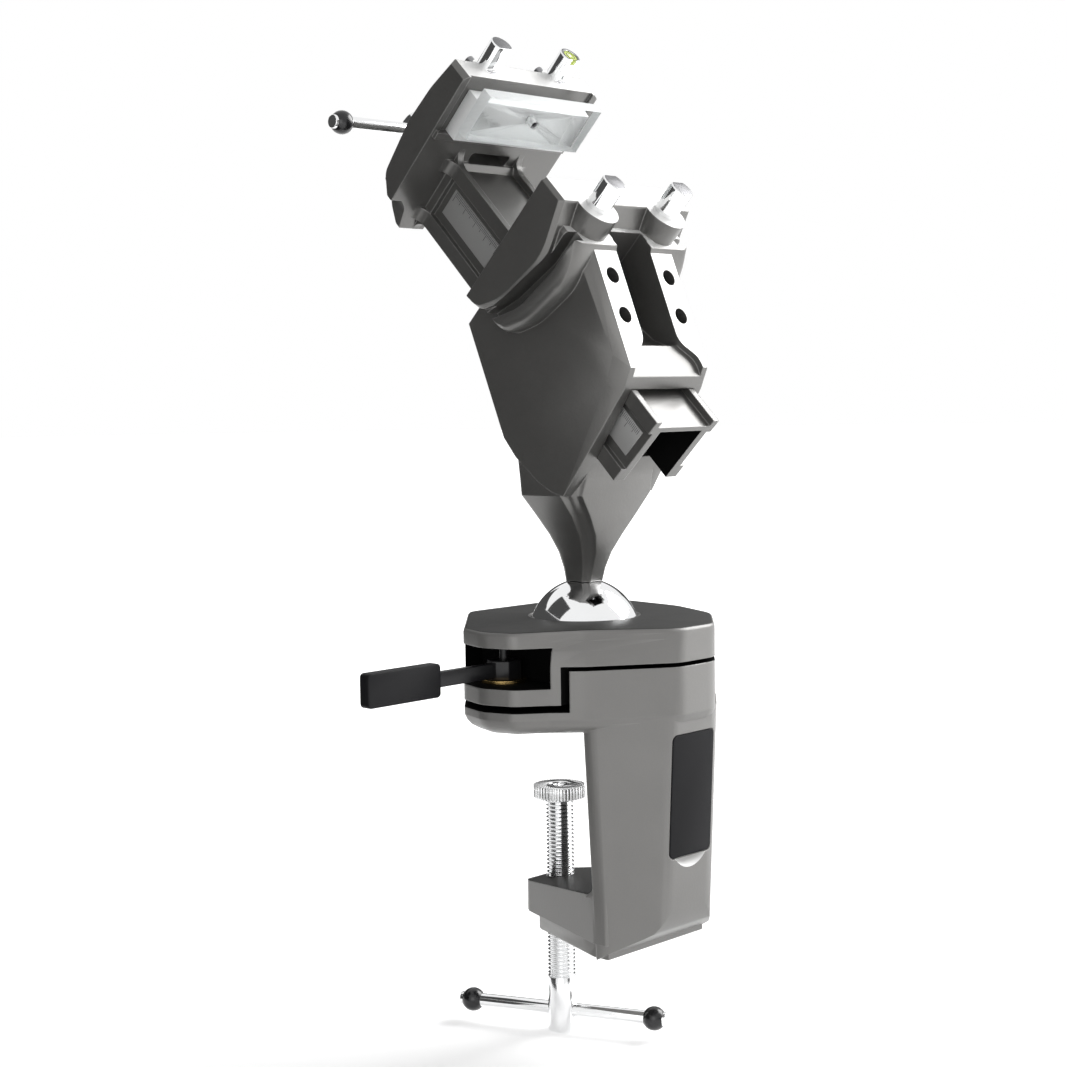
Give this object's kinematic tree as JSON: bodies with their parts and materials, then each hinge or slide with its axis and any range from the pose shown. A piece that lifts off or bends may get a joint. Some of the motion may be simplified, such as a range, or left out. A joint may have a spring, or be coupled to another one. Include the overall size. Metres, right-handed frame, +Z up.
{
  "type": "ball joint vise",
  "caption": "Small vise head on a clamped ball joint over a screw clamp for the bench edge, with sliding jaw, a clear jaw plate, upright work pins and cross handles.",
  "frame": {"origin": "on the bench screw's axis, in the underside of the base that rests on the bench", "axes": "+Z up along the bench screw, +Y out of the clamp's throat, +X along the width of the jaws at rest"},
  "size_m": [0.2081, 0.1949, 0.4967],
  "materials": {
    "cast_coat": "die-cast, dark grey metallic coat, semi-gloss",
    "base_coat": "die-cast, mid-grey metallic coat, satin",
    "chrome": "polished plating",
    "bright_steel": "bright plated steel",
    "screw_steel": "blackened steel",
    "insert_steel": "ground steel",
    "clear_plastic": "clear acrylic",
    "brass": "turned brass",
    "seat_plastic": "bearing plastic",
    "black_plastic": "moulded black plastic",
    "black_metal": "black coat",
    "label_film": "bare dark label",
    "vial_liquid": "tinted liquid behind glass"
  },
  "bodies": {
    "base": {"clamp_frame": "base_coat", "socket_cap": "base_coat", "cap_screws": "screw_steel", "lever_stud": "screw_steel", "lever_washer": "brass", "label_plate": "label_film"},
    "seat": {"ball_seat": "seat_plastic"},
    "ball": {"ball": "chrome"},
    "head": {"neck_pin": "screw_steel", "vise_body": "cast_coat", "fixed_jaw_insert": "insert_steel", "fixed_plate_screw": "screw_steel", "fixed_pins": "chrome", "fixed_pin_screws": "screw_steel", "screw_nut": "brass", "nut_screw": "screw_steel"},
    "moving_jaw": {"moving_jaw": "cast_coat", "moving_jaw_insert": "insert_steel", "moving_clear_plate": "clear_plastic", "moving_plate_screw": "screw_steel", "moving_pins": "chrome", "moving_pin_screws": "screw_steel", "bubble_vial": "vial_liquid"},
    "vise_screw": {"vise_screw": "bright_steel", "screw_ring": "screw_steel"},
    "vise_handle": {"vise_handle_bar": "bright_steel", "vise_handle_balls": "black_plastic"},
    "lever": {"lever_arm": "black_metal", "lever_grip": "black_plastic"},
    "bench_pad": {"bench_pad": "bright_steel"},
    "bench_screw": {"bench_screw": "bright_steel", "pad_screw": "screw_steel"},
    "bench_handle": {"bench_handle_bar": "bright_steel", "bench_handle_balls": "black_plastic"}
  },
  "joints": [
    {"name": "head_swivel", "type": "hinge", "parent": "base", "child": "seat", "pos_m": [0, -0.0185, 0.0385], "axis": [0, 0, 1], "continuous": true},
    {"name": "head_tilt", "type": "hinge", "parent": "seat", "child": "ball", "pos_m": [0, -0.0185, 0.0385], "axis": [1, 0, 0], "range_deg": [-45, 45]},
    {"name": "head_turn", "type": "hinge", "parent": "ball", "child": "head", "pos_m": [0, -0.0185, 0.0385], "axis": [0, 0, 1], "continuous": true},
    {"name": "jaw_slide", "type": "slide", "parent": "head", "child": "moving_jaw", "axis": [0, 0.7071, 0.7071], "range_m": [-0.057, 0.043]},
    {"name": "vise_screw_turn", "type": "hinge", "parent": "moving_jaw", "child": "vise_screw", "pos_m": [0, 0.05023, 0.25261], "axis": [0, 0.7071, 0.7071], "range_deg": [-6841, 5161]},
    {"name": "vise_handle_slide", "type": "slide", "parent": "vise_screw", "child": "vise_handle", "axis": [1, 0, 0], "range_m": [-0.041, 0.041]},
    {"name": "clamp_lever", "type": "hinge", "parent": "base", "child": "lever", "pos_m": [-0.057, -0.0185, 0.0275], "axis": [0, 0, 1], "range_deg": [-45, 45]},
    {"name": "bench_pad_slide", "type": "slide", "parent": "base", "child": "bench_pad", "axis": [0, 0, 1], "range_m": [-0.036, 0.02]},
    {"name": "bench_screw_turn", "type": "hinge", "parent": "bench_pad", "child": "bench_screw", "pos_m": [0, 0, -0.1], "axis": [0, 0, 1], "range_deg": [-6481, 3601]},
    {"name": "bench_handle_slide", "type": "slide", "parent": "bench_screw", "child": "bench_handle", "axis": [-0.3907, 0.9205, 0], "range_m": [-0.037, 0.037]}
  ],
  "couplings": [
    {"joint": "vise_screw_turn", "follows": "jaw_slide", "rad_per_m": 2094.4},
    {"joint": "bench_screw_turn", "follows": "bench_pad_slide", "rad_per_m": 3141.6}
  ]
}
